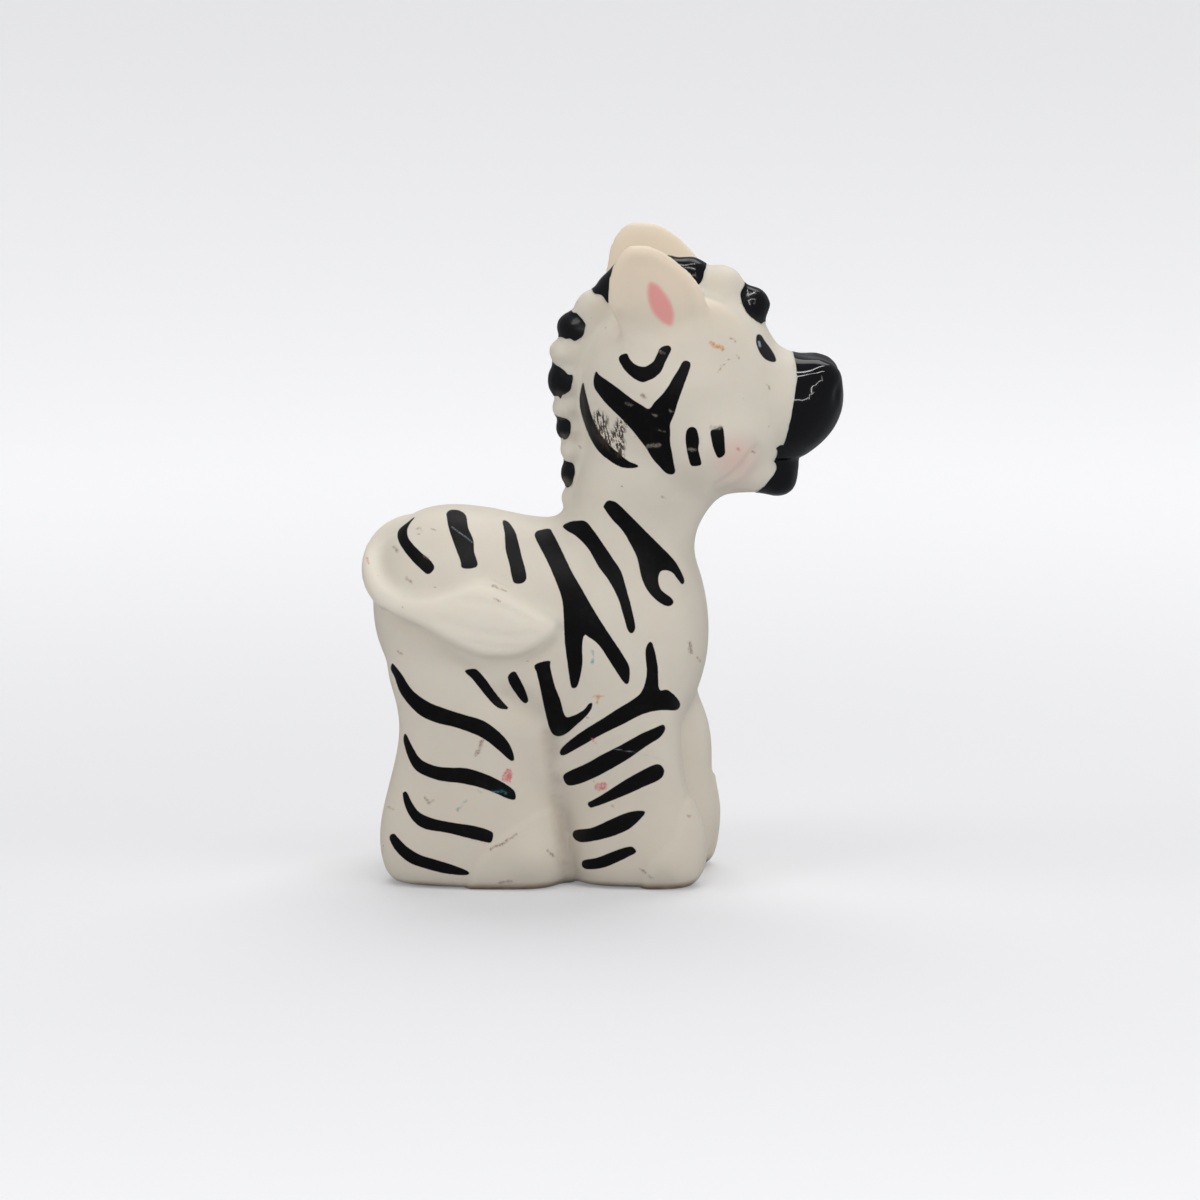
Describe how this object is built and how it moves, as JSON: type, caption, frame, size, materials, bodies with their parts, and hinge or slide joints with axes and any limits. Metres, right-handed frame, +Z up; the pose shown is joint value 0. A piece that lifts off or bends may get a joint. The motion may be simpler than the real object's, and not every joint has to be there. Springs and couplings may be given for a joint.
{
  "type": "toy wild animal figure",
  "caption": "Small standing toy zebra foal in soft vinyl, on a flat base between sturdy legs, with upright ears, a lobed mane and a tail laid along its right flank.",
  "frame": {"origin": "on the floor, on the base plug's flat underside, below the shoulders and on the body's plane of symmetry", "axes": "+X is the way the foal faces, +Y its left side, +Z up from the flat base"},
  "size_m": [0.0541, 0.0282, 0.0736],
  "materials": {
    "white_vinyl": "soft off-white vinyl with a satin skin, printed with matte black stripes",
    "black_gloss_paint": "thick gloss black paint over vinyl, with slightly ragged edges",
    "plug_plastic": "plain off-white plastic, slightly duller than the skin"
  },
  "bodies": {
    "root": {"body_shell": "white_vinyl", "ear_right": "white_vinyl", "ear_left": "white_vinyl", "tail": "white_vinyl", "mane_tuft_white_1": "white_vinyl", "mane_tuft_white_2": "white_vinyl", "mane_tuft_white_3": "white_vinyl", "mane_tuft_white_4": "white_vinyl", "mane_tuft_white_5": "white_vinyl", "mane_tuft_white_6": "white_vinyl", "mane_tuft_white_7": "white_vinyl", "mane_tuft_white_8": "white_vinyl", "mane_tuft_black_1": "black_gloss_paint", "mane_tuft_black_2": "black_gloss_paint", "mane_tuft_black_3": "black_gloss_paint", "mane_tuft_black_4": "black_gloss_paint", "mane_tuft_black_5": "black_gloss_paint", "mane_tuft_black_6": "black_gloss_paint", "mane_tuft_black_7": "black_gloss_paint", "mane_tuft_black_8": "black_gloss_paint", "muzzle": "black_gloss_paint", "chin": "black_gloss_paint", "base_plug": "plug_plastic"}
  },
  "joints": []
}
